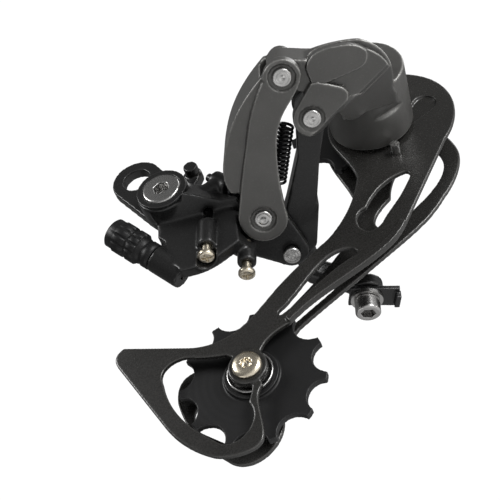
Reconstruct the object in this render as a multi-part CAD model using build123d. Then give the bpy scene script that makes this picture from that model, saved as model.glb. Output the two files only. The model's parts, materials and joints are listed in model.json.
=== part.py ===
from build123d import *
import math
import os

# Rear bicycle derailleur, millimetres.
# +X points forward along the bicycle, +Z up, -Y outward to the rider's drive side.
# The origin is the centre of the hanger bolt's hole, on the face that lies on the hanger.

# --- driving dimensions -------------------------------------------------------
HANGER_BORE_R = 5.1
BRACKET_THICK = 4.0
B_AXIS = (-3.0, -22.0)             # X and Z of the pivot that the whole derailleur swings on
B_BARREL_R = 9.2
B_BARREL_OUT = -12.0
B_SHANK_R = 4.0
B_BUSH_R = 5.0
B_HEAD_R = 6.7

LINK_ORIGIN = (8.8, -5.2, -57.4)   # head of the outer link's lower pin
LINK_DIR = (23.65, -41.73, -0.76)  # from the lower to the upper pin of a link
PIN_AXIS = (-0.62, -0.34, -0.71)   # along all four pins, towards their heads
LINK_LEN = 48.0
INNER_PIN = (-12.9, -11.2)         # inner link's lower pin, seen along the pins
PIN_R = 2.3
PIN_HEAD_R = 3.0
COUNTERBORE_R = 4.3                # round the outer link's pin heads
RUN = 0.05                         # radial running clearance
THROUGH = 60                       # longer than anything that is cut through
FRONT_PLATE = 4.0
EAR_TOP = -4.3                     # depths below the heads, along the pins
MID_TOP = -8.3
MID_END = -18.2
EAR_START = -18.5
EAR_END = -22.0

HEAD_LEVELS = {"pin_b_outer": 0.0, "pin_b_inner": -1.0, "pin_p_outer": 0.0, "pin_p_inner": -2.5}

SPRING_START = (8.5, -4.2, -12.0)  # along, across and depth, seen along the pins
SPRING_LEN = 21.5
SPRING_R = 2.7
SPRING_WIRE = 1.0

HOOD_TOP = -6.5                    # depths of the P knuckle's hood, along the pins
HOOD_END = -34.0
HOOD_LEAN = (-0.274, -0.129, -1.0) # the hood's crown leans back along this direction

P_AXIS = (70.0, -52.4)             # X and Z of the cage pivot
P_BARREL_R = 15.0
P_BARREL_OUT = -20.0
P_BARREL_IN = 4.4
FACET_IN = -8.6                    # where the hood's facet meets the barrel's side
P_BORE_R = 11.0
P_AXLE_R = 5.0

CAGE_DIR = (-0.953, 0.0, -0.303)   # from the cage pivot to the tension pulley
PULLEY_Y = 12.0
OUTER_PLATE_IN = 7.6               # inner face of the outer plate
INNER_PLATE_IN = 16.2
PLATE = 1.8
TENSION = (107.65, 0.0)            # pulley centres in the cage's own plane
GUIDE = (-4.0, -10.5)
STOP_PIN = (12.0, 13.5)
TEETH = 11
TIP_R = 23.6
TOOTH_GAP_R = 5.6
TOOTH_GAP_AT = 24.8                # centre of a tooth gap, from the pulley's centre
TOOTH_TURN = -8.0                  # degrees
PULLEY_THICK = 2.4
BOLT_R = 2.5
BUSH_R = 4.0

ADJUSTER_TOP = (-24.0, -9.0, -17.5)
ADJUSTER_DIR = (0.11, 0.29, -0.95)
ADJUSTER_BOSS = 18.2               # from the knob's free end to the boss
ADJUSTER_END = 30.2
ADJUSTER_BOSS_R = 4.7
STEM_R = 3.0
CABLE_R = 1.4                      # bore that the inner cable runs through

SCREW_DIR = (-0.73, 0.0, -0.69)    # limit screws, pointing out of their heads
SCREW_R = 1.5
SCREW_HEAD_R = 2.8
SCREW_HEAD = 1.7
SCREW_ROOM_R = 3.2                 # clear space round a screw's head
B_SCREW_AT = (13.0, -6.5, -39.5)   # underside of the B-tension screw's head
LIMIT_HEADS = {"limit_screw_high": (-12.6, -6.0, -51.5), "limit_screw_low": (-7.4, 1.5, -62.4)}

CLAMP_AT = (22.0, 32.7, -81.9)      # outer face of the inner link's clamp boss
CLAMP_DIR = (-0.73, 0.03, -0.68)    # out of the boss, along the clamp bolt
CLAMP_LONG = (0.66, 0.26, -0.70)    # along the clamp plate
CLAMP_BOLT_R = 2.5

os.makedirs("parts", exist_ok=True)
PIN_PLANE = Plane(origin=LINK_ORIGIN, x_dir=LINK_DIR, z_dir=PIN_AXIS)


def save(name, shape):
    shape.label = name
    export_step(shape, f"parts/{name}.step")


def hull(*discs):
    """Flat outline around discs given as (x, y, radius)."""
    edges = []
    for x, y, radius in discs:
        edges += (Pos(x, y) * Circle(radius)).edges()
    return make_hull(edges)


def outline(*stretches):
    """Closed face from stretches of points: two points make a line, more make a smooth curve."""
    edges = []
    for points in stretches:
        edges.append(Line(*points) if len(points) == 2 else Spline(*points))
    return make_face(edges)


def disc(x, y, radius):
    return Pos(x, y) * Circle(radius)


def pinned(face, low, high):
    """Solid between two depths, with its outline seen along the link pins."""
    return PIN_PLANE.location * Pos(0, 0, low) * extrude(face, high - low)


def across(x, z, radius, y_from, y_to):
    """Cylinder along Y."""
    plane = Plane(origin=(x, y_from, z), x_dir=(1, 0, 0), z_dir=(0, 1, 0))
    return plane.location * extrude(Circle(radius), y_to - y_from)


def rod(start, direction, radius, length):
    plane = Plane(origin=start, z_dir=direction)
    return plane.location * extrude(Circle(radius), length)


def bar(start, end, width, depth):
    """Straight bar with rounded corners between two points."""
    run = Vector(*end) - Vector(*start)
    plane = Plane(origin=start, z_dir=run)
    return plane.location * extrude(RectangleRounded(width, depth, 2), run.length)


def along(start, direction, distance):
    step = Vector(*direction).normalized() * distance
    return tuple(Vector(*start) + step)


def cage_face(face, y_inner, thick=PLATE):
    """Solid of a cage outline; its outer side is thick beyond y_inner, towards -Y."""
    plane = Plane(origin=(P_AXIS[0], y_inner, P_AXIS[1]), x_dir=CAGE_DIR, z_dir=(0, -1, 0))
    return plane.location * extrude(face, thick)


def cage_rod(at, radius, y_from, y_to):
    return cage_face(disc(*at, radius), y_to, y_to - y_from)


UP = (0, 0, 1)
LOW_OUT = (0.0, 0.0)
TOP_OUT = (LINK_LEN, 0.0)
LOW_IN = INNER_PIN
TOP_IN = (LINK_LEN + INNER_PIN[0], INNER_PIN[1])


# --- hanger bracket and its pivot bolt ------------------------------------------
def hanger_bracket():
    x, z = B_AXIS
    flat = Plane(origin=(0, 0, 0), x_dir=(1, 0, 0), z_dir=(0, -1, 0))
    eye = hull((0, 0, 9.3), (x, z, 8.6))
    tab = hull((x + 4, z + 1, 4), (13, z + 4.5, 3.2))
    plate = flat.location * extrude(eye + tab, BRACKET_THICK)
    stop = flat.location * Pos(13, z + 4.5, BRACKET_THICK) * extrude(Circle(2.6), 3.6)
    plate = plate + stop
    plate = plate - across(0, 0, HANGER_BORE_R, -20, 20)
    return plate - across(x, z, B_SHANK_R, -20, 20)


def b_axle_bolt():
    x, z = B_AXIS
    bolt = across(x, z, B_HEAD_R, B_BARREL_OUT - 1.6, B_BARREL_OUT)
    bolt = chamfer(bolt.faces().sort_by(Axis.Y)[0].edges(), 0.5)
    bolt += across(x, z, B_SHANK_R, B_BARREL_OUT, 0)
    socket = Plane(origin=(x, B_BARREL_OUT - 2, z), x_dir=(1, 0, 0), z_dir=(0, 1, 0))
    return bolt - socket.location * extrude(RegularPolygon(2.9, 6), 4.5)


def b_collar():
    x, z = B_AXIS
    ring = across(x, z, B_BARREL_R - 0.3, B_BARREL_OUT - 1.2, B_BARREL_OUT - 0.05)
    ring = ring - across(x, z, B_HEAD_R + 0.05, -30, 0)
    return ring


# --- B knuckle: the fixed side of the parallelogram -------------------------------
def b_knuckle():
    x, z = B_AXIS
    body = across(x, z, B_BARREL_R, B_BARREL_OUT, -BRACKET_THICK - 0.2)
    arm = hull((-4, 31, 7), (-4.5, 14, 6)) + hull((-4.5, 14, 6), (0, 0, 6.2))
    body += pinned(arm, MID_END, MID_TOP)
    body -= pinned(hull((13, 13.5, 6), (11, 4, 3)), EAR_END, EAR_TOP)
    body += pinned(disc(*LOW_OUT, 6.2), MID_END, EAR_TOP)
    body += pinned(hull((0, 0, 6.2), (*LOW_IN, 5.8), (-12, 2, 4)), MID_TOP + 0.3, EAR_TOP)
    body += pinned(disc(*LOW_IN, 5.8), MID_TOP + 0.3, -1.0)
    rear = hull((-8, 16, 5), (*LOW_IN, 5.6)) - disc(*LOW_OUT, 6.6)
    body += pinned(rear, EAR_END, EAR_START)
    body += pinned(hull((-9, 16, 4.5), (-14, 4, 4)), EAR_END, EAR_TOP)
    boss_start = along(ADJUSTER_TOP, ADJUSTER_DIR, ADJUSTER_BOSS)
    body += rod(boss_start, ADJUSTER_DIR, ADJUSTER_BOSS_R, ADJUSTER_END - ADJUSTER_BOSS)
    side = Plane(origin=(0, -1.5, 0), x_dir=(1, 0, 0), z_dir=(0, -1, 0))
    web = outline(
        ((-10, -20), (-13, -27), (-19, -33)),
        ((-19, -33), (-22, -48)),
        ((-22, -48), (-17, -52.5), (-9, -55.5)),
        ((-9, -55.5), (4, -58)),
        ((4, -58), (7, -48), (5, -38), (3, -28)),
        ((3, -28), (-10, -20)),
    )
    body += side.location * extrude(web, 4.5)
    for head in LIMIT_HEADS.values():
        body += rod(along(head, SCREW_DIR, -14), SCREW_DIR, 3.2, 10.5)
    body += rod(along(B_SCREW_AT, UP, 2), UP, 3.6, 7.5)
    body += rod(along(B_SCREW_AT, UP, 5.5), (-1, 0, 0.3), 3.4, 11)
    # room for the neighbours
    body -= pinned(disc(*LOW_OUT, 8.9), EAR_TOP, 12)
    body -= pinned(disc(*LOW_IN, 7.0), MID_END - 0.3, MID_TOP)
    body -= pinned(hull((*LOW_IN, 6.2), (25, -11.2, 6.2)), MID_END - 0.3, MID_TOP)
    body -= pinned(disc(*LOW_OUT, 6.6), EAR_END - 4, MID_END)
    body -= across(x, z, 12.5, -BRACKET_THICK - 0.2, 3)
    body -= across(x, z, B_BARREL_R + 0.6, -40, B_BARREL_OUT)
    for head in LIMIT_HEADS.values():
        body -= rod(along(head, SCREW_DIR, -2.4), SCREW_DIR, SCREW_ROOM_R, 14)
    body -= rod(along(B_SCREW_AT, UP, -8.5), UP, SCREW_ROOM_R, 10.2)
    body -= rod(along(ADJUSTER_TOP, ADJUSTER_DIR, -6), ADJUSTER_DIR, 6.3, ADJUSTER_BOSS + 5.9)
    # bores
    body -= across(x, z, B_BUSH_R, -20, 20)
    body -= pinned(disc(*LOW_OUT, PIN_R), -40, 10)
    body -= pinned(disc(*LOW_IN, PIN_R), -40, 10)
    body -= pinned(disc(*LOW_IN, COUNTERBORE_R - 0.1), -1.9, 10)
    body -= rod(ADJUSTER_TOP, ADJUSTER_DIR, STEM_R + RUN, ADJUSTER_END - 4)
    body -= rod(ADJUSTER_TOP, ADJUSTER_DIR, CABLE_R, ADJUSTER_END + 8)
    for head in LIMIT_HEADS.values():
        body -= rod(along(head, SCREW_DIR, -30), SCREW_DIR, SCREW_R + RUN, THROUGH)
    body -= rod(along(B_SCREW_AT, UP, -20), UP, SCREW_R + RUN, THROUGH)
    return body


def b_bushing():
    x, z = B_AXIS
    sleeve = across(x, z, B_BUSH_R, B_BARREL_OUT + 0.5, -BRACKET_THICK - 0.2)
    return sleeve - across(x, z, B_SHANK_R + RUN, -30, 10)


# --- screws and the cable adjuster --------------------------------------------------
def cross_screw(head_at, direction, length):
    """Pan head screw: the head starts at head_at and the shank runs back from it."""
    screw = rod(head_at, direction, SCREW_HEAD_R, SCREW_HEAD)
    top_face = screw.faces().sort_by(Axis(head_at, direction))[-1]
    screw = chamfer(top_face.edges(), 0.6)
    screw += rod(along(head_at, direction, -length), direction, SCREW_R, length)
    top = Plane(origin=along(head_at, direction, SCREW_HEAD / 2), z_dir=direction)
    cross = Rectangle(3.4, 0.8) + Rectangle(0.8, 3.4)
    return screw - top.location * extrude(cross, 3)


def adjuster_stem():
    stem = rod(along(ADJUSTER_TOP, ADJUSTER_DIR, 1.5), ADJUSTER_DIR, STEM_R, 24)
    return stem - rod(ADJUSTER_TOP, ADJUSTER_DIR, CABLE_R, THROUGH)


def adjuster_knob():
    def at(distance, radius, length):
        return rod(along(ADJUSTER_TOP, ADJUSTER_DIR, distance), ADJUSTER_DIR, radius, length)

    knob = at(0, 5.2, 9.5)
    knob += at(3.2, 5.7, 9.3)
    knob += at(12, 4.7, 6.0)
    frame = Plane(origin=ADJUSTER_TOP, z_dir=ADJUSTER_DIR)
    flute = Sketch() + PolarLocations(6.1, 12) * Circle(0.75)
    knob -= frame.location * Pos(0, 0, 3.0) * extrude(flute, 9.7)
    return knob - at(-1, STEM_R + RUN, THROUGH)


# --- links, pins and spring ------------------------------------------------------------
def outer_link():
    front = outline(
        ((46, 5.6), (50.8, 5.0), (53.6, 1.4), (53.2, -2.6), (49.6, -5.6)),
        ((49.6, -5.6), (44, -4.8), (37, -2.0), (30, -0.9), (22, -1.8), (12, -4.2), (3, -7.3)),
        ((3, -7.3), (-2.5, -7.6), (-7.3, -3.4), (-7.6, 2.4), (-4.2, 6.7), (0.5, 8.2)),
        ((0.5, 8.2), (12, 8.6)),
        ((12, 8.6), (30, 8.4)),
        ((30, 8.4), (38, 7.6), (46, 5.6)),
    )
    shell = outline(
        ((48.5, 5.2), (40, 10.2), (30, 13.8), (20, 15.0), (12, 14.2), (7.5, 11.5)),
        ((7.5, 11.5), (8.2, 8.2)),
        ((8.2, 8.2), (12, 10.8), (20, 12.0), (30, 10.8), (40, 7.0), (45.5, 3.4)),
        ((45.5, 3.4), (48.5, 5.2)),
    )
    brow = outline(
        ((48.5, 5.2), (40, 10.2), (30, 13.8), (20, 15.0), (12, 14.2), (7.5, 11.5)),
        ((7.5, 11.5), (8.2, 6.0)),
        ((8.2, 6.0), (45.5, 3.4)),
        ((45.5, 3.4), (48.5, 5.2)),
    )
    link = pinned(front, -FRONT_PLATE, 0)
    link += pinned(brow, -FRONT_PLATE, -1.2)
    link += pinned(shell, EAR_END, -1.2)
    link += pinned(hull((*LOW_OUT, 5.6), (11.5, 11, 2.6)), EAR_END, EAR_START)
    link += pinned(hull((*TOP_OUT, 4.2), (40, 5.5, 2.6)), EAR_END, EAR_START)
    for at in (LOW_OUT, TOP_OUT):
        link -= pinned(disc(*at, 6.7), EAR_START, -FRONT_PLATE)
        link -= pinned(disc(*at, COUNTERBORE_R), -0.9, 5)
        link -= pinned(disc(*at, PIN_R + RUN), -40, 5)
    return link


def inner_link():
    link = pinned(hull((*LOW_IN, 5.2), (2, -12.8, 5.0)), MID_END, MID_TOP)
    link += pinned(hull((2, -12.8, 5.0), (20, -12.6, 3.6)), MID_END + 0.2, MID_TOP)
    link += pinned(hull((20, -12.6, 3.6), (*TOP_IN, 5.0)), MID_END, MID_TOP)
    flank = hull((-11, -16.5, 3.4), (3, -16.5, 2.0))
    link += pinned(flank, MID_END, MID_TOP)
    # arm that carries the cable clamp, bent inboard past the cage
    start = (20.4, 15.0, -57.1)
    knee = (16.5, 26.0, -63.5)
    foot = along(CLAMP_AT, CLAMP_DIR, -3.8)
    link += bar(start, knee, 8, 6.4)
    link += Pos(*knee) * Sphere(4.2)
    link += bar(knee, foot, 8, 7)
    link += rod(CLAMP_AT, CLAMP_DIR, 6.0, -4.4)
    link -= pinned(disc(*LOW_IN, PIN_R + RUN), -40, 10)
    link -= pinned(disc(*TOP_IN, PIN_R + RUN), -40, 10)
    return link - rod(along(CLAMP_AT, CLAMP_DIR, -16), CLAMP_DIR, CLAMP_BOLT_R, 24)


def link_pin(at, head_level):
    """Riveted pin with a domed, dimpled head."""
    pin = pinned(disc(*at, PIN_R), EAR_END - 0.2, head_level - 0.9)
    pin += pinned(disc(*at, PIN_HEAD_R), head_level - 0.9, head_level + 0.3)
    return pin - pinned(disc(*at, 1.1), head_level - 0.3, head_level + 2)


def return_spring():
    """Tension spring in the gap between the links: the coil's outer and inner envelope."""
    start = PIN_PLANE.location * Pos(*SPRING_START)
    frame = Plane(origin=start.position, z_dir=LINK_DIR)
    return frame.location * extrude(Circle(SPRING_R) - Circle(SPRING_R - SPRING_WIRE), SPRING_LEN)


# --- P knuckle: the moving side of the parallelogram -----------------------------------
def p_knuckle():
    x, z = P_AXIS
    hood = outline(
        (
            (50.2, -6.6), (55.5, -8.5), (59.0, -15.0), (60.6, -22.0),
            (60.0, -28.0), (55.0, -33.5), (47, -37),
        ),
        ((47, -37), (36, -42)),
        ((36, -42), (33, -22)),
        ((33, -22), (42.5, -20)),
        ((42.5, -20), (43.6, -9)),
        ((43.6, -9), (50.2, -6.6)),
    )
    crown = outline(
        ((48.0, 4.8), (51.5, 0.5), (55.7, -6.6), (59.2, -14.8), (61.0, -21.8)),
        ((61.0, -21.8), (58.3, -29.7), (47.3, -35.8)),
        ((47.3, -35.8), (20, -60)),
        ((20, -60), (0, 4.8)),
        ((0, 4.8), (48.0, 4.8)),
    )
    leaning = extrude(crown, HOOD_TOP - HOOD_END, dir=HOOD_LEAN)
    body = pinned(hood, HOOD_END, HOOD_TOP) & (PIN_PLANE.location * Pos(0, 0, HOOD_TOP) * leaning)
    body += across(x, z, P_BARREL_R, P_BARREL_OUT, P_BARREL_IN)
    body += pinned(hull((*TOP_OUT, 4.6), (48, -12, 5.5)), MID_END, EAR_TOP)
    front_ear = hull((*TOP_IN, 6.0), (43, -18, 3.5), (45, -11, 2.2))
    body += pinned(front_ear, MID_TOP + 0.3, -2.6)
    body += pinned(hull((*TOP_IN, 5.8), (42, -22, 5)), EAR_END, EAR_START)
    body += pinned(hull((50, -14, 4), (44, -22, 4), (36, -26, 4)), EAR_END, EAR_TOP)
    body -= pinned(disc(*TOP_IN, 6.8), MID_END - 0.3, MID_TOP)
    body -= pinned(hull((*TOP_IN, 5.6), (10, -11.2, 5.6)), MID_END - 0.3, MID_TOP)
    body -= pinned(disc(*TOP_OUT, 6.4), -40, MID_END - 0.1)
    body -= pinned(disc(*TOP_OUT, 6.6), EAR_TOP, 10)
    body += cage_face(hull((11, 7, 2.6), (15.3, 9.5, 3.2)), P_BARREL_IN, 3.0)
    body -= beyond_facet()
    body += across(x, z, P_BARREL_R, FACET_IN, P_BARREL_IN)
    body -= p_cover()
    body -= across(x, z, P_BORE_R, -16, 20)
    body -= across(x, z, P_AXLE_R + RUN, -18, 20)
    body -= pinned(disc(*TOP_OUT, PIN_R), -40, 10)
    body -= pinned(disc(*TOP_IN, PIN_R), -40, 10)
    body -= pinned(disc(*TOP_IN, COUNTERBORE_R - 0.1), -3.4, 10)
    return body


def beyond_facet():
    """Everything past the flat facet that slopes from the hood's front down to the barrel."""
    facet = Plane(origin=(42.9, -22.0, -3.0), z_dir=(-0.46, -0.63, 0.63))
    return PIN_PLANE.location * facet.location * extrude(Rectangle(120, 120), 60)


def p_cover():
    """Front cap that closes the hood: a flat step with a raised dome beside it."""
    rim = ((50.6, -7.2), (55.5, -9.0), (58.6, -15.0), (59.6, -20.5), (58.6, -24.3))
    step = outline(
        rim,
        ((58.6, -24.3), (57.0, -29.0), (47.4, -35.9)),
        ((47.4, -35.9), (43.5, -22.5)),
        ((43.5, -22.5), (44.8, -10.4)),
        ((44.8, -10.4), (50.6, -7.2)),
    )
    dome = outline(
        rim,
        ((58.6, -24.3), (55.5, -25.2), (51.7, -21.8)),
        ((51.7, -21.8), (44.8, -10.4)),
        ((44.8, -10.4), (50.6, -7.2)),
    )
    cap = pinned(step, HOOD_TOP + 0.05, -4.4) + pinned(dome, -4.6, -3.0)
    return cap - beyond_facet()


def p_bushing():
    x, z = P_AXIS
    sleeve = across(x, z, P_BORE_R, P_BARREL_IN - 4, P_BARREL_IN)
    return sleeve - across(x, z, P_AXLE_R + RUN, -30, 30)


def p_axle():
    x, z = P_AXIS
    axle = across(x, z, P_AXLE_R, -17.6, OUTER_PLATE_IN)
    return axle - across(x, z, 2.2, -20, 2)


def p_torsion_spring():
    x, z = P_AXIS
    coil = across(x, z, 9.6, -15.5, -0.2)
    return coil - across(x, z, 7.2, -30, 10)


def p_seal():
    x, z = P_AXIS
    ring = across(x, z, 12.5, P_BARREL_IN + 0.1, OUTER_PLATE_IN - PLATE - 0.1)
    return ring - across(x, z, P_AXLE_R + 0.3, -30, 30)


# --- cage ------------------------------------------------------------------------------
def outer_cage_plate():
    edge = outline(
        (
            (26, 4), (18, -4), (10, -13), (-3, -17.5), (-17, -14), (-27, -5),
            (-29, 5), (-26, 16), (-18, 24.3), (-8, 28), (2, 28),
        ),
        ((2, 28), (42, 27.6)),
        ((42, 27.6), (50, 26.5), (58, 23), (72, 14.4), (89, 6)),
        ((89, 6), (99.4, 1.2), (112, 7.2)),
        ((112, 7.2), (124, 13), (129, 15), (134, 11.5), (137.8, 3)),
        ((137.8, 3), (137.4, -5), (133, -17)),
        ((133, -17), (119.4, -42)),
        ((119.4, -42), (116.5, -44.4), (112.6, -43.6)),
        ((112.6, -43.6), (106.4, -22)),
        ((106.4, -22), (103.5, -16), (97, -10), (88, -6.4), (78, -4), (70, -1.5), (55, 4.6)),
        ((55, 4.6), (44, 6.4), (35, 6.0), (26, 4)),
    )
    window = outline(
        ((20, 19.6), (21.5, 18), (38.5, 12.2)),
        ((38.5, 12.2), (46, 12), (48.2, 15), (44, 20)),
        ((44, 20), (32, 21.6), (24.5, 22), (20.5, 21.2), (20, 19.6)),
    )
    slot = outline(
        ((86, 0.6), (75, 3.7), (66, 5.8), (58.5, 9.8), (56.3, 14)),
        ((56.3, 14), (57.6, 16.4), (60.5, 15.0)),
        ((60.5, 15.0), (67, 11.2), (76, 7.2), (86, 2.6)),
        ((86, 2.6), (87.2, 1.5), (86, 0.6)),
    )
    teardrop = hull((-14, 15, 4.2), (1, 10.5, 1.4))
    vent = make_face(Polyline((-21.6, 1.8), (-21, 6.8), (-16.8, 4.6), close=True))
    guard = outline(
        ((105.5, -9), (107.3, -13), (109, -18)),
        ((109, -18), (111.5, -23.5), (115.4, -25.8), (120.6, -23.8)),
        ((120.6, -23.8), (126.4, -17.6), (131, -8.4), (133, 1)),
        ((133, 1), (132, 7), (127, 9.6), (118.6, 5.6)),
        ((118.6, 5.6), (112, 3.5), (105.5, -9)),
    )
    face = edge - window - slot - vent
    face = face - (guard - disc(*TENSION, 6.2))
    plate = cage_face(face, OUTER_PLATE_IN)
    # raised rims: round the pulley boss, and along the arm's lower edge
    plate += cage_face(disc(*TENSION, 6.2), OUTER_PLATE_IN, PLATE + 0.6)
    rib = outline(
        ((42, 27.6), (50, 26.5), (58, 23), (72, 14.4), (89, 6)),
        ((89, 6), (88, 4.2)),
        ((88, 4.2), (71, 12.5), (57, 21), (49.5, 24.4), (42, 25.6)),
        ((42, 25.6), (42, 27.6)),
    )
    plate += cage_face(rib, OUTER_PLATE_IN, PLATE + 1.0)
    plate -= cage_face(teardrop, OUTER_PLATE_IN - PLATE + 1.0, 5)
    plate -= across(*P_AXIS, P_AXLE_R, -30, 30)
    plate -= cage_rod(TENSION, BOLT_R, -30, 30)
    plate -= cage_rod(GUIDE, BOLT_R, -30, 30)
    plate -= cage_rod(STOP_PIN, 1.6, -30, 30)
    return plate


def inner_cage_plate():
    edge = outline(
        (
            (42, 7), (20, -6), (10, -16), (-4, -21), (-19, -15), (-24, -2),
            (-20, 12), (-10, 23), (-3, 30), (8, 33), (20, 32),
        ),
        ((20, 32), (31, 29.6), (44, 24), (62, 15.2), (84, 4.6)),
        ((84, 4.6), (97, 4.0), (112, 9.5)),
        ((112, 9.5), (128, 13.5), (133, 9), (133.6, 2)),
        ((133.6, 2), (129, -12), (121, -22)),
        ((121, -22), (113, -24.5), (106, -18)),
        ((106, -18), (97, -9), (84, -4), (62, 3), (42, 7)),
    )
    opening = outline(
        ((-2, 21), (8, 13), (24, 14)),
        ((24, 14), (38, 15), (38, 20)),
        ((38, 20), (20, 26.5), (6, 27.5), (-2, 21)),
    )
    slot = hull((62, 9, 2.6), (82, 0.8, 1.6))
    foot = hull((121, -8, 7), (125, 2, 4)) - disc(*TENSION, 9.5)
    plate = cage_face(edge - opening - slot - foot, INNER_PLATE_IN + PLATE)
    plate -= cage_rod(TENSION, BOLT_R, -30, 30)
    return plate - cage_rod(GUIDE, BOLT_R, -30, 30)


def cage_stop_pin():
    return cage_rod(STOP_PIN, 1.6, 1.6, OUTER_PLATE_IN)


def pulley(at):
    tooth_gap = Sketch() + PolarLocations(TOOTH_GAP_AT, TEETH, TOOTH_TURN) * Circle(TOOTH_GAP_R)
    rim = Circle(TIP_R) - tooth_gap
    half = PULLEY_THICK / 2
    wheel = cage_face(Pos(*at) * rim, PULLEY_Y + half, PULLEY_THICK)
    wheel += cage_rod(at, 8.8, PULLEY_Y - 2.4, PULLEY_Y + 2.4)
    return wheel - cage_rod(at, BUSH_R + RUN, -30, 30)


def pulley_bushing(at):
    sleeve = cage_rod(at, BUSH_R, OUTER_PLATE_IN, INNER_PLATE_IN)
    return sleeve - cage_rod(at, BOLT_R, -30, 30)


def dust_caps(at):
    caps = []
    for near, far in ((OUTER_PLATE_IN + 0.15, PULLEY_Y - 2.6), (PULLEY_Y + 2.6, INNER_PLATE_IN - 0.15)):
        cap = cage_rod(at, 7.4, near, far) - cage_rod(at, BUSH_R, -30, 30)
        caps.append(cap)
    return Compound(children=caps)


def tension_bolt():
    head_from = OUTER_PLATE_IN - PLATE - 0.6
    bolt = cage_rod(TENSION, BOLT_R, head_from, INNER_PLATE_IN + PLATE)
    head = cage_rod(TENSION, 4.7, head_from - 1.8, head_from)
    head = chamfer(head.faces().sort_by(Axis.Y)[0].edges(), 0.7)
    bolt += head
    frame = Plane(origin=(P_AXIS[0], head_from - 0.6, P_AXIS[1]), x_dir=CAGE_DIR, z_dir=(0, -1, 0))
    return bolt - frame.location * Pos(*TENSION) * extrude(RegularPolygon(1.7, 6), 4)


def guide_bolt():
    far = INNER_PLATE_IN + PLATE
    bolt = cage_rod(GUIDE, BOLT_R, OUTER_PLATE_IN - PLATE, far)
    bolt += cage_rod(GUIDE, 4.4, far, far + 1.8)
    frame = Plane(origin=(P_AXIS[0], far + 4, P_AXIS[1]), x_dir=CAGE_DIR, z_dir=(0, -1, 0))
    return bolt - frame.location * Pos(*GUIDE) * extrude(RegularPolygon(1.7, 6), 3.4)


# --- cable clamp ------------------------------------------------------------------------
def clamp_parts():
    """Plate, washer and bolt, stacked outwards from the clamp boss."""
    stack = Plane(origin=CLAMP_AT, x_dir=CLAMP_LONG, z_dir=CLAMP_DIR).location
    shank = stack * Pos(0, 0, -6) * extrude(Circle(CLAMP_BOLT_R), 9.35)
    plate = stack * Pos(2.5, 0, 0.95) * Box(17, 9.5, 1.6)
    hook = stack * Pos(10.6, 0, 2.45) * Box(1.8, 6.0, 3.0)
    washer = stack * Pos(0, 0, 2.55) * Cylinder(5.6, 1.4)
    head = stack * Pos(0, 0, 6.05) * Cylinder(4.4, 5.4)
    head = chamfer(head.faces().sort_by(Axis(CLAMP_AT, CLAMP_DIR))[-1].edges(), 0.5)
    socket = stack * Pos(0, 0, 5.4) * extrude(RegularPolygon(2.6, 6), 4)
    return plate + hook - shank, washer - shank, head + shank - socket


save("hanger_bracket", hanger_bracket())
save("b_axle_bolt", b_axle_bolt())
save("b_collar", b_collar())
save("b_knuckle", b_knuckle())
save("b_bushing", b_bushing())
save("b_tension_screw", cross_screw(B_SCREW_AT, (0, 0, -1), 12.6))
for name, head in LIMIT_HEADS.items():
    save(name, cross_screw(head, SCREW_DIR, 13))
save("adjuster_stem", adjuster_stem())
save("adjuster_knob", adjuster_knob())
save("outer_link", outer_link())
save("inner_link", inner_link())
for name, at in zip(HEAD_LEVELS, (LOW_OUT, LOW_IN, TOP_OUT, TOP_IN)):
    save(name, link_pin(at, HEAD_LEVELS[name]))
save("return_spring", return_spring())
save("p_knuckle", p_knuckle())
save("p_cover", p_cover())
save("p_bushing", p_bushing())
save("p_axle", p_axle())
save("p_torsion_spring", p_torsion_spring())
save("p_seal", p_seal())
save("outer_cage_plate", outer_cage_plate())
save("inner_cage_plate", inner_cage_plate())
save("cage_stop_pin", cage_stop_pin())
for name, at in (("guide", GUIDE), ("tension", TENSION)):
    save(f"{name}_pulley", pulley(at))
    save(f"{name}_bushing", pulley_bushing(at))
    save(f"{name}_dust_caps", dust_caps(at))
save("guide_bolt", guide_bolt())
save("tension_bolt", tension_bolt())
clamp_plate, clamp_washer, clamp_bolt = clamp_parts()
save("cable_clamp_plate", clamp_plate)
save("cable_clamp_washer", clamp_washer)
save("cable_clamp_bolt", clamp_bolt)
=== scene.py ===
import json
import math

import bmesh
import bpy
from mathutils import Matrix, Vector


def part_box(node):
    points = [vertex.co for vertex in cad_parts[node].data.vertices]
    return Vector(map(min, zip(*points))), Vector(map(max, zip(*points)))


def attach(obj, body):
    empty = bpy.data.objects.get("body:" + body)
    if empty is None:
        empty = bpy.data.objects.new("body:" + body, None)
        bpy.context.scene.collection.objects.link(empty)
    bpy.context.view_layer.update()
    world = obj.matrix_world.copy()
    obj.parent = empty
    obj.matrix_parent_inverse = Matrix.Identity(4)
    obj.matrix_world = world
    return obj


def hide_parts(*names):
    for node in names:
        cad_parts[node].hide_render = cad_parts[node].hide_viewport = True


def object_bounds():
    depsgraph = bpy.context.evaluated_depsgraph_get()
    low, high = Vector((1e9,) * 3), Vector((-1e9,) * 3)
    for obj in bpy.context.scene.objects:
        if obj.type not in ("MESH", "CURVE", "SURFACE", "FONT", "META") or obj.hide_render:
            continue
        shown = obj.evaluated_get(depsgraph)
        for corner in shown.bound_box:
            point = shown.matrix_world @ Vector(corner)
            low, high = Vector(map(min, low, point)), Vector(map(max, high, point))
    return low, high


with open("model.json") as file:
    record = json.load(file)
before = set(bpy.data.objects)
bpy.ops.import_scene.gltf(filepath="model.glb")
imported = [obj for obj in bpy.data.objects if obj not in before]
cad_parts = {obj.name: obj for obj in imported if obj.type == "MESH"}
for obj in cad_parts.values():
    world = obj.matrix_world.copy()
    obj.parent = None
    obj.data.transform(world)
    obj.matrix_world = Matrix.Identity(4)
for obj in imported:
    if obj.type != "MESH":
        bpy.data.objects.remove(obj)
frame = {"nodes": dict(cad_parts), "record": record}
cad_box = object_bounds()

MM = 0.001

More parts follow.
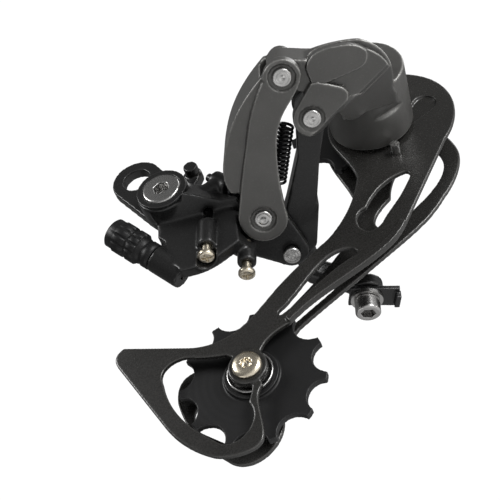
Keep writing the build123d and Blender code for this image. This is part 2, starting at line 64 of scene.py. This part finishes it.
# --- directions and places, from the record's joints -----------------------------------
JOINTS = {joint["name"]: joint for joint in frame["record"]["behaviour"]["joints"]}
PIN_AXIS = -Vector(JOINTS["link_swing"]["axis"]).normalized()
ADJUSTER_DIR = -Vector(JOINTS["adjuster_turn"]["axis"]).normalized()
ADJUSTER_TOP = Vector(JOINTS["adjuster_turn"]["pos_m"])
OUTWARD = Vector((0, -1, 0))       # the drive side, along the pivots and pulley bolts


def joint_point(name):
    return Vector(JOINTS[name]["pos_m"])


def middle(node):
    low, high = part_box(node)
    return (Vector(low) + Vector(high)) / 2


LINK_LOW = joint_point("link_swing")
LINK_TOP = joint_point("p_knuckle_pivot")
INNER_LOW = joint_point("inner_link_swing")
LINK_UP = (LINK_TOP - LINK_LOW).normalized()
INNER_TOP = INNER_LOW + LINK_TOP - LINK_LOW
HEAD_ABOVE_JOINT = 13.0 * MM       # joint points lie this deep under the outer pins' heads


# --- camera, lights and surroundings ----------------------------------------------------
CAMERA_AT = Vector((-102.8, -212.9, -234.9)) * MM
CAMERA_BACK = Vector((-0.3461, -0.7218, -0.5994))
CAMERA_UP = Vector((0.6639, -0.6398, 0.3872))
CAMERA_LENS = 64.8                 # millimetres, on a sensor this wide
CAMERA_SENSOR = 36
BACKGROUND_STRENGTH = 1.05         # what the camera sees past the object
GLOW_STRENGTH = 0.18               # what lights the object from all round
FLOOR_Z = -0.45                    # metres, as is the floor's half side
FLOOR_HALF = 3.0
FLOOR_GLOW = 0.38                  # keeps the floor pale beyond the reach of the lamps


def camera_axes():
    back = CAMERA_BACK.normalized()
    right = CAMERA_UP.cross(back).normalized()
    return right, back.cross(right), back


RIGHT, UP, BACK = camera_axes()


def make_camera():
    data = bpy.data.cameras.new("camera")
    data.lens = CAMERA_LENS
    data.sensor_width = CAMERA_SENSOR
    data.clip_start = 0.01
    camera = bpy.data.objects.new("camera", data)
    bpy.context.scene.collection.objects.link(camera)
    turn = Matrix((RIGHT, UP, BACK)).transposed()
    camera.matrix_world = Matrix.Translation(CAMERA_AT) @ turn.to_4x4()
    bpy.context.scene.camera = camera


def area_light(name, right, up, back, size, power, colour=(1, 1, 1)):
    """A soft round lamp facing the object, placed right, up and back of it in the camera's directions."""
    data = bpy.data.lights.new(name, "AREA")
    data.shape = "DISK"
    data.size = size
    data.energy = power
    data.color = colour
    light = bpy.data.objects.new(name, data)
    bpy.context.scene.collection.objects.link(light)
    target = (Vector(cad_box[0]) + Vector(cad_box[1])) / 2
    place = target + RIGHT * right + UP * up + BACK * back
    turn = (place - target).to_track_quat("Z", "Y").to_matrix()
    light.matrix_world = Matrix.Translation(place) @ turn.to_4x4()


def make_world():
    """White where the camera looks past the object, and a dim even glow as light."""
    world = bpy.data.worlds.new("studio")
    bpy.context.scene.world = world
    world.use_nodes = True
    nodes, links = world.node_tree.nodes, world.node_tree.links
    nodes.clear()
    out = nodes.new("ShaderNodeOutputWorld")
    mix = nodes.new("ShaderNodeMixShader")
    seen = nodes.new("ShaderNodeBackground")
    seen.inputs["Color"].default_value = (1, 1, 1, 1)
    seen.inputs["Strength"].default_value = BACKGROUND_STRENGTH
    glow = nodes.new("ShaderNodeBackground")
    glow.inputs["Color"].default_value = (1, 1, 1, 1)
    glow.inputs["Strength"].default_value = GLOW_STRENGTH
    path = nodes.new("ShaderNodeLightPath")
    links.new(path.outputs["Is Camera Ray"], mix.inputs[0])
    links.new(glow.outputs[0], mix.inputs[1])
    links.new(seen.outputs[0], mix.inputs[2])
    links.new(mix.outputs[0], out.inputs[0])


def make_floor():
    mesh = bpy.data.meshes.new("floor")
    corners = [(x * FLOOR_HALF, y * FLOOR_HALF, FLOOR_Z) for x, y in ((-1, -1), (1, -1), (1, 1), (-1, 1))]
    mesh.from_pydata(corners, [], [(0, 1, 2, 3)])
    floor = bpy.data.objects.new("floor", mesh)
    bpy.context.scene.collection.objects.link(floor)
    material = bpy.data.materials.new("pale_floor")
    material.use_nodes = True
    shader = material.node_tree.nodes["Principled BSDF"]
    shader.inputs["Base Color"].default_value = (0.85, 0.85, 0.85, 1)
    shader.inputs["Roughness"].default_value = 0.8
    shader.inputs["Emission Color"].default_value = (1, 1, 1, 1)
    shader.inputs["Emission Strength"].default_value = FLOOR_GLOW
    mesh.materials.append(material)


bpy.context.scene.view_settings.view_transform = "Standard"
make_camera()
make_world()
make_floor()
area_light("key", right=0.28, up=0.50, back=0.35, size=0.30, power=4.8)
area_light("side", right=-0.50, up=0.25, back=0.02, size=0.25, power=2.2)
area_light("fill", right=0.50, up=0.05, back=0.22, size=0.30, power=3.4, colour=(1.0, 0.94, 0.86))
area_light("rim", right=0.30, up=0.45, back=-0.35, size=0.40, power=1.6)
area_light("low", right=-0.30, up=-0.50, back=0.20, size=0.40, power=0.5)


# --- materials ---------------------------------------------------------------------------
MOTTLE_MM = 11.0                   # size of the slow colour variation
SPECK_SIZE = 1.7                   # of a paler speck, in grains
RING_DEPTH = 0.3                   # of moulded rings, beside the grain's 1
RELIEF = 0.05 * MM                 # depth that a bump of 1 stands for


def mix_colours(nodes, links, factor, first, second):
    """A colour between first and second; either may be a plain colour or another node's output."""
    blend = nodes.new("ShaderNodeMix")
    blend.data_type = "RGBA"
    links.new(factor, blend.inputs[0])
    for socket, value in ((blend.inputs[6], first), (blend.inputs[7], second)):
        if isinstance(value, bpy.types.NodeSocket):
            links.new(value, socket)
        else:
            socket.default_value = (*value, 1)
    return blend.outputs[2]


def mapped(nodes, links, value, from_range, to_range):
    ramp = nodes.new("ShaderNodeMapRange")
    ramp.inputs["From Min"].default_value, ramp.inputs["From Max"].default_value = from_range
    ramp.inputs["To Min"].default_value, ramp.inputs["To Max"].default_value = to_range
    links.new(value, ramp.inputs["Value"])
    return ramp.outputs[0]


def maths(nodes, links, operation, *values):
    node = nodes.new("ShaderNodeMath")
    node.operation = operation
    for socket, value in zip(node.inputs, values):
        if isinstance(value, bpy.types.NodeSocket):
            links.new(value, socket)
        else:
            socket.default_value = value
    return node.outputs[0]


def turned_rings(nodes, links, place, point, direction, pitch):
    """Height of turning marks: faint rings about the line through the point."""
    shift = nodes.new("ShaderNodeVectorMath")
    shift.operation = "SUBTRACT"
    shift.inputs[1].default_value = point
    links.new(place, shift.inputs[0])
    cross = nodes.new("ShaderNodeVectorMath")
    cross.operation = "CROSS_PRODUCT"
    cross.inputs[1].default_value = direction
    links.new(shift.outputs[0], cross.inputs[0])
    length = nodes.new("ShaderNodeVectorMath")
    length.operation = "LENGTH"
    links.new(cross.outputs[0], length.inputs[0])
    phase = maths(nodes, links, "MULTIPLY", length.outputs["Value"], 2 * math.pi / pitch)
    return maths(nodes, links, "SINE", phase)


def finish_material(name, colour, metallic, roughness, grain_mm, bump,
                    edge=0.0, specular=0.5, mottling=0.25, rings=None):
    """Fine grain, slow colour variation, paler specks, a painted highlight that brightens raised edges and,
    where rings gives (point, direction, pitch), faint rings about that line."""
    material = bpy.data.materials.new(name)
    material.use_nodes = True
    nodes, links = material.node_tree.nodes, material.node_tree.links
    shader = nodes["Principled BSDF"]
    shader.inputs["Metallic"].default_value = metallic
    shader.inputs["Specular IOR Level"].default_value = specular
    place = nodes.new("ShaderNodeTexCoord").outputs["Object"]

    def noise(size_mm, detail):
        texture = nodes.new("ShaderNodeTexNoise")
        texture.inputs["Scale"].default_value = 1.0 / (size_mm * MM)
        texture.inputs["Detail"].default_value = detail
        links.new(place, texture.inputs["Vector"])
        return texture.outputs["Fac"]

    grain = noise(grain_mm, 4.0)
    slow = noise(MOTTLE_MM, 3.0)
    speckle = noise(grain_mm * SPECK_SIZE, 2.0)

    dark = [channel * (1 - mottling) for channel in colour]
    light = [channel * (1 + mottling) for channel in colour]
    tint = mix_colours(nodes, links, slow, dark, light)
    specks = mapped(nodes, links, speckle, (0.55, 0.8), (0, 0.5))
    tint = mix_colours(nodes, links, specks, tint, [min(1, channel * 1.5) for channel in colour])
    # painted highlight: raised edges are mixed toward a much paler tone, as strongly as edge gives
    if edge > 0:
        highlight = nodes.new("ShaderNodeAttribute")
        highlight.attribute_name = "painted_edge_highlight"
        highlight_share = maths(nodes, links, "MULTIPLY", highlight.outputs["Fac"], edge)
        tint = mix_colours(nodes, links, highlight_share, tint, [min(1, channel * 3 + 0.03) for channel in colour])
    links.new(tint, shader.inputs["Base Color"])

    roughs = (roughness * 0.85, min(1.0, roughness * 1.2))
    links.new(mapped(nodes, links, grain, (0.3, 0.7), roughs), shader.inputs["Roughness"])

    height = grain
    if rings:
        faint = maths(nodes, links, "MULTIPLY", turned_rings(nodes, links, place, *rings), RING_DEPTH)
        height = maths(nodes, links, "ADD", faint, grain)
    raised = nodes.new("ShaderNodeBump")
    raised.inputs["Strength"].default_value = bump
    raised.inputs["Distance"].default_value = RELIEF
    links.new(height, raised.inputs["Height"])
    links.new(raised.outputs[0], shader.inputs["Normal"])
    return material


# edge sets how strongly raised edges are brightened as a painted highlight
FINISHES = {
    "satin_grey_shell": {
        "colour": (0.066, 0.065, 0.062), "metallic": 0.45, "roughness": 0.36,
        "grain_mm": 0.30, "bump": 0.6, "edge": 0.9,
    },
    "black_casting": {
        "colour": (0.008, 0.008, 0.008), "metallic": 0.0, "roughness": 0.30,
        "grain_mm": 0.35, "bump": 0.16, "edge": 0.3, "specular": 0.32,
    },
    "cage_plate": {
        "colour": (0.018, 0.0175, 0.0165), "metallic": 0.2, "roughness": 0.27,
        "grain_mm": 0.4, "bump": 0.25, "edge": 0.55, "specular": 0.45,
    },
    "pulley_plastic": {
        "colour": (0.005, 0.005, 0.0052), "metallic": 0.0, "roughness": 0.42,
        "grain_mm": 0.3, "bump": 0.3, "edge": 0.25, "specular": 0.22,
    },
    "black_steel": {
        "colour": (0.008, 0.008, 0.0085), "metallic": 0.2, "roughness": 0.28,
        "grain_mm": 0.3, "bump": 0.2, "edge": 0.3, "specular": 0.4,
    },
    "bright_steel": {
        "colour": (0.38, 0.376, 0.37), "metallic": 1.0, "roughness": 0.27,
        "grain_mm": 0.25, "bump": 0.1, "mottling": 0.1,
    },
    "warm_screw_plating": {
        "colour": (0.62, 0.56, 0.45), "metallic": 1.0, "roughness": 0.28,
        "grain_mm": 0.3, "bump": 0.1, "mottling": 0.12,
    },
    "bushing_plastic": {
        "colour": (0.08, 0.08, 0.08), "metallic": 0.0, "roughness": 0.5,
        "grain_mm": 0.3, "bump": 0.3,
    },
}
SLOT_MATERIALS = {slot: finish_material(slot, **finish) for slot, finish in FINISHES.items()}
PULLEY_RING_PITCH = 2.4            # millimetres between the moulded rings


def pulley_material(node):
    return finish_material(
        f"{node}_plastic", colour=(0.007, 0.007, 0.0072), metallic=0.0, roughness=0.40,
        grain_mm=0.3, bump=0.4, edge=0.3, specular=0.25,
        rings=(tuple(middle(node)), tuple(OUTWARD), PULLEY_RING_PITCH * MM),
    )


NODE_SLOT = {entry["node"]: entry["material_slot"] for entry in frame["record"]["subparts"]}
NODE_BODY = {node: body for body, nodes in frame["record"]["behaviour"]["bodies"].items() for node in nodes}


def dress(piece, material):
    piece.data.materials.clear()
    piece.data.materials.append(material)


for node, cad_object in frame["nodes"].items():
    if len(cad_object.data.materials) == 0:
        cad_object.data.materials.append(SLOT_MATERIALS[NODE_SLOT[node]])
    for slot in cad_object.material_slots:
        slot.material = SLOT_MATERIALS[NODE_SLOT[node]]


# --- shaping helpers -------------------------------------------------------------------------
HIGHLIGHT_FROM, HIGHLIGHT_TO = 0.05, 0.16    # standing out by these shares of the grid step is 0 and 1 of the painted edge highlight
WELD = 0.001 * MM
COIL_STEPS = 24                    # points in one turn of a coil


def add_piece(name, mesh, node, material=None, replace=True):
    """Puts a mesh in the scene, riding on the node's body and finished in the node's slot."""
    piece = bpy.data.objects.new(name, mesh)
    bpy.context.scene.collection.objects.link(piece)
    for polygon in mesh.polygons:
        polygon.use_smooth = True
    dress(piece, material or SLOT_MATERIALS[NODE_SLOT[node]])
    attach(piece, NODE_BODY[node])
    if replace:
        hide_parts(node)
    return piece


def mark_edges(mesh, rounds=2):
    """Stores, 0 to 1, how far each point stands out from its neighbours, as the mask of a painted highlight
    on raised edges.
    """
    work = bmesh.new()
    work.from_mesh(mesh)
    work.normal_update()
    highlight = []
    around = []
    for vertex in work.verts:
        near = [edge.other_vert(vertex) for edge in vertex.link_edges]
        around.append([other.index for other in near])
        centre = sum((other.co for other in near), Vector()) / len(near)
        reach = sum(edge.calc_length() for edge in vertex.link_edges) / len(near)
        highlight.append((vertex.co - centre).dot(vertex.normal) / reach)
    work.free()
    for _ in range(rounds):
        means = [sum(highlight[other] for other in near) / len(near) for near in around]
        highlight = [(own + mean) / 2 for own, mean in zip(highlight, means)]
    values = [min(1.0, max(0.0, (value - HIGHLIGHT_FROM) / (HIGHLIGHT_TO - HIGHLIGHT_FROM))) for value in highlight]
    mesh.attributes.new("painted_edge_highlight", "FLOAT", "POINT").data.foreach_set("value", values)


def softened(node, voxel_mm, rounds, material=None):
    """A copy of a CAD node with its sharp edges rounded over, as a casting or a pressed plate has them."""
    work = bmesh.new()
    work.from_mesh(frame["nodes"][node].data)
    bmesh.ops.remove_doubles(work, verts=work.verts, dist=WELD)
    mesh = bpy.data.meshes.new(f"{node}_soft")
    work.to_mesh(mesh)
    work.free()
    holder = bpy.data.objects.new(f"{node}_work", mesh)
    bpy.context.scene.collection.objects.link(holder)
    remesh = holder.modifiers.new("remesh", "REMESH")
    remesh.mode = "VOXEL"
    remesh.voxel_size = voxel_mm * MM
    smooth = holder.modifiers.new("smooth", "SMOOTH")
    smooth.factor = 0.5
    smooth.iterations = rounds
    evaluated = holder.evaluated_get(bpy.context.evaluated_depsgraph_get())
    result = bpy.data.meshes.new_from_object(evaluated)
    bpy.data.objects.remove(holder)
    mark_edges(result)
    return add_piece(f"{node}_body", result, node, material)


def lathe(name, node, profile, start, axis, segments=60, lobes=0, hollow=False, replace=True):
    """Turned piece. The profile holds (radius, height) in mm from the start point along the axis,
    or (radius, height, flute) where lobes are cut that deep. A hollow piece joins its last ring
    to its first."""
    turn = axis.normalized().to_track_quat("Z", "Y").to_matrix()
    work = bmesh.new()
    rings = []
    for radius, height, *flute in profile:
        ring = []
        for step in range(segments):
            angle = 2 * math.pi * step / segments
            cut = flute[0] * max(0.0, math.cos(lobes * angle)) ** 2 if flute else 0.0
            reach = radius - cut
            local = Vector((reach * math.cos(angle), reach * math.sin(angle), height)) * MM
            ring.append(work.verts.new(start + turn @ local))
        rings.append(ring)
    pairs = list(zip(rings, rings[1:]))
    if hollow:
        pairs.append((rings[-1], rings[0]))
    for lower, upper in pairs:
        for step in range(segments):
            after = (step + 1) % segments
            work.faces.new((lower[step], lower[after], upper[after], upper[step]))
    if not hollow:
        work.faces.new(list(reversed(rings[0])))
        work.faces.new(rings[-1])
    bmesh.ops.recalc_face_normals(work, faces=work.faces)
    mesh = bpy.data.meshes.new(name)
    work.to_mesh(mesh)
    work.free()
    return add_piece(name, mesh, node, replace=replace)


def coil(name, node, start, end, radius_mm, wire_mm, turns):
    """Round wire wound about the line from start to end."""
    axis = (end - start).normalized()
    side = axis.orthogonal().normalized()
    other = axis.cross(side)
    total = int(turns * COIL_STEPS)
    curve = bpy.data.curves.new(name, "CURVE")
    curve.dimensions = "3D"
    curve.bevel_depth = wire_mm / 2 * MM
    curve.bevel_resolution = 3
    curve.use_fill_caps = True
    spline = curve.splines.new("POLY")
    spline.points.add(total)
    for step in range(total + 1):
        angle = 2 * math.pi * step / COIL_STEPS
        ring = (side * math.cos(angle) + other * math.sin(angle)) * radius_mm * MM
        point = start.lerp(end, step / total) + ring
        spline.points[step].co = (*point, 1)
    holder = bpy.data.objects.new(name, curve)
    bpy.context.scene.collection.objects.link(holder)
    evaluated = holder.evaluated_get(bpy.context.evaluated_depsgraph_get())
    mesh = bpy.data.meshes.new_from_object(evaluated)
    bpy.data.objects.remove(holder)
    return add_piece(name, mesh, node)


# --- castings and plates ------------------------------------------------------------------------
# how coarse each copy's surface grid is, in mm, and how many times it is smoothed
CASTINGS = {
    "b_knuckle": (0.42, 9),
    "inner_link": (0.42, 9),
    "outer_link": (0.38, 6),
    "p_knuckle": (0.42, 8),
    "p_cover": (0.3, 5),
    "hanger_bracket": (0.4, 6),
    "outer_cage_plate": (0.3, 5),
    "inner_cage_plate": (0.35, 4),
    "b_collar": (0.3, 3),
    "b_axle_bolt": (0.25, 3),
    "cable_clamp_plate": (0.2, 3),
    "cable_clamp_bolt": (0.16, 3),
    "limit_screw_high": (0.13, 3),
    "limit_screw_low": (0.13, 3),
    "b_tension_screw": (0.16, 3),
}
for node, (voxel_mm, rounds) in CASTINGS.items():
    softened(node, voxel_mm, rounds)
for node in ("guide_pulley", "tension_pulley"):
    softened(node, 0.3, 4, pulley_material(node))


# --- riveted pins -------------------------------------------------------------------------------
PIN_LENGTH = 22.0
DOME = [
    (2.3, 0), (2.3, PIN_LENGTH - 1.0), (2.95, PIN_LENGTH - 0.95), (3.0, PIN_LENGTH - 0.4),
    (2.85, PIN_LENGTH - 0.02), (2.55, PIN_LENGTH + 0.14), (2.25, PIN_LENGTH + 0.1),
    (2.05, PIN_LENGTH - 0.05), (1.7, PIN_LENGTH + 0.12), (1.2, PIN_LENGTH + 0.2),
    (0.8, PIN_LENGTH + 0.08), (0.3, PIN_LENGTH - 0.25),
]
# each pin's joint point, and how much higher its head is than the outer pins'
PINS = {
    "pin_b_outer": (LINK_LOW, 0.0),
    "pin_b_inner": (INNER_LOW, -1.0),
    "pin_p_outer": (LINK_TOP, 0.0),
    "pin_p_inner": (INNER_TOP, -2.5),
}
for pin, (point, level) in PINS.items():
    foot = point + PIN_AXIS * (HEAD_ABOVE_JOINT - PIN_LENGTH * MM)
    profile = DOME[:1] + [(radius, height + level) for radius, height in DOME[1:]]
    lathe(f"{pin}_rivet", pin, profile, foot, PIN_AXIS)


# --- springs ------------------------------------------------------------------------------------
RETURN_COIL = {"half": 10.2, "radius": 2.2, "wire": 1.0, "turns": 14}
TORSION_WIRE = 1.8
TORSION_TURNS = 5


def return_spring():
    half = LINK_UP * RETURN_COIL["half"] * MM
    at = middle("return_spring")
    coil("return_spring_coil", "return_spring", at - half, at + half,
         RETURN_COIL["radius"], RETURN_COIL["wire"], RETURN_COIL["turns"])


def torsion_spring():
    low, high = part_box("p_torsion_spring")
    at = middle("p_torsion_spring")
    inset = TORSION_WIRE / 2 * MM
    start = Vector((at.x, low[1] + inset, at.z))
    end = Vector((at.x, high[1] - inset, at.z))
    radius = (high[0] - low[0]) / 2 / MM - TORSION_WIRE / 2
    coil("p_torsion_coil", "p_torsion_spring", start, end, radius, TORSION_WIRE, TORSION_TURNS)


return_spring()
torsion_spring()


# --- adjuster knob --------------------------------------------------------------------------------
def adjuster_knob():
    profile = [
        (3.2, 0.4), (3.7, 0.0), (4.7, 0.0), (5.2, 0.45), (5.2, 2.8), (5.35, 3.1, 0.2), (5.65, 3.5, 0.55),
        (5.65, 7.2, 0.55), (5.3, 7.6, 0.3), (5.1, 7.9), (5.1, 8.5), (5.3, 8.8, 0.3), (5.65, 9.2, 0.55),
        (5.65, 12.0, 0.55), (5.3, 12.4, 0.2), (4.7, 12.5), (4.7, 13.6), (4.45, 13.8), (4.45, 15.0),
        (4.7, 15.2), (4.7, 17.6), (4.3, 18.0), (3.2, 18.0),
    ]
    lathe("adjuster_knob_ribbed", "adjuster_knob", profile, ADJUSTER_TOP, ADJUSTER_DIR,
          segments=144, lobes=12, hollow=True)


adjuster_knob()


# --- pulley bolts and dust caps ------------------------------------------------------------------
def tension_bolt():
    """Low domed head with a six-lobed socket."""
    low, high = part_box("tension_bolt")
    at = middle("tension_bolt")
    foot = Vector((at.x, high[1], at.z))
    tall = (high[1] - low[1]) / MM
    profile = [
        (2.45, 0), (2.45, tall - 1.9), (4.3, tall - 1.85), (4.65, tall - 1.6), (4.7, tall - 1.2),
        (4.55, tall - 0.75), (4.2, tall - 0.4), (3.5, tall - 0.14), (2.6, tall - 0.02), (2.1, tall),
        (1.85, tall - 0.05, 0.45), (1.8, tall - 0.25, 0.5), (1.75, tall - 1.3, 0.5), (0.7, tall - 1.5),
    ]
    lathe("tension_bolt_domed", "tension_bolt", profile, foot, OUTWARD, segments=96, lobes=6)


DUST_CAP_THICK = 1.45


def dust_caps(pulley):
    """Two pressed caps, each with a rolled rim, a valley and a raised ring about the bushing."""
    node = f"{pulley}_dust_caps"
    low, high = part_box(node)
    at = middle(node)
    radius = (high[0] - low[0]) / 2 / MM
    for side, edge, out in (("outer", low[1], OUTWARD), ("inner", high[1], -OUTWARD)):
        foot = Vector((at.x, edge, at.z)) - out * DUST_CAP_THICK * MM
        profile = [
            (3.6, 0), (radius - 0.1, 0), (radius, 0.15), (radius, 0.8), (radius - 0.25, 1.05),
            (radius - 0.6, 0.95), (radius - 1.1, 0.55), (radius - 2.0, 0.5), (radius - 2.5, 0.9),
            (radius - 2.9, DUST_CAP_THICK - 0.1), (3.8, DUST_CAP_THICK),
            (3.6, DUST_CAP_THICK - 0.2),
        ]
        lathe(f"{pulley}_{side}_cap", node, profile, foot, out, hollow=True, replace=side == "outer")


tension_bolt()
dust_caps("tension")
dust_caps("guide")
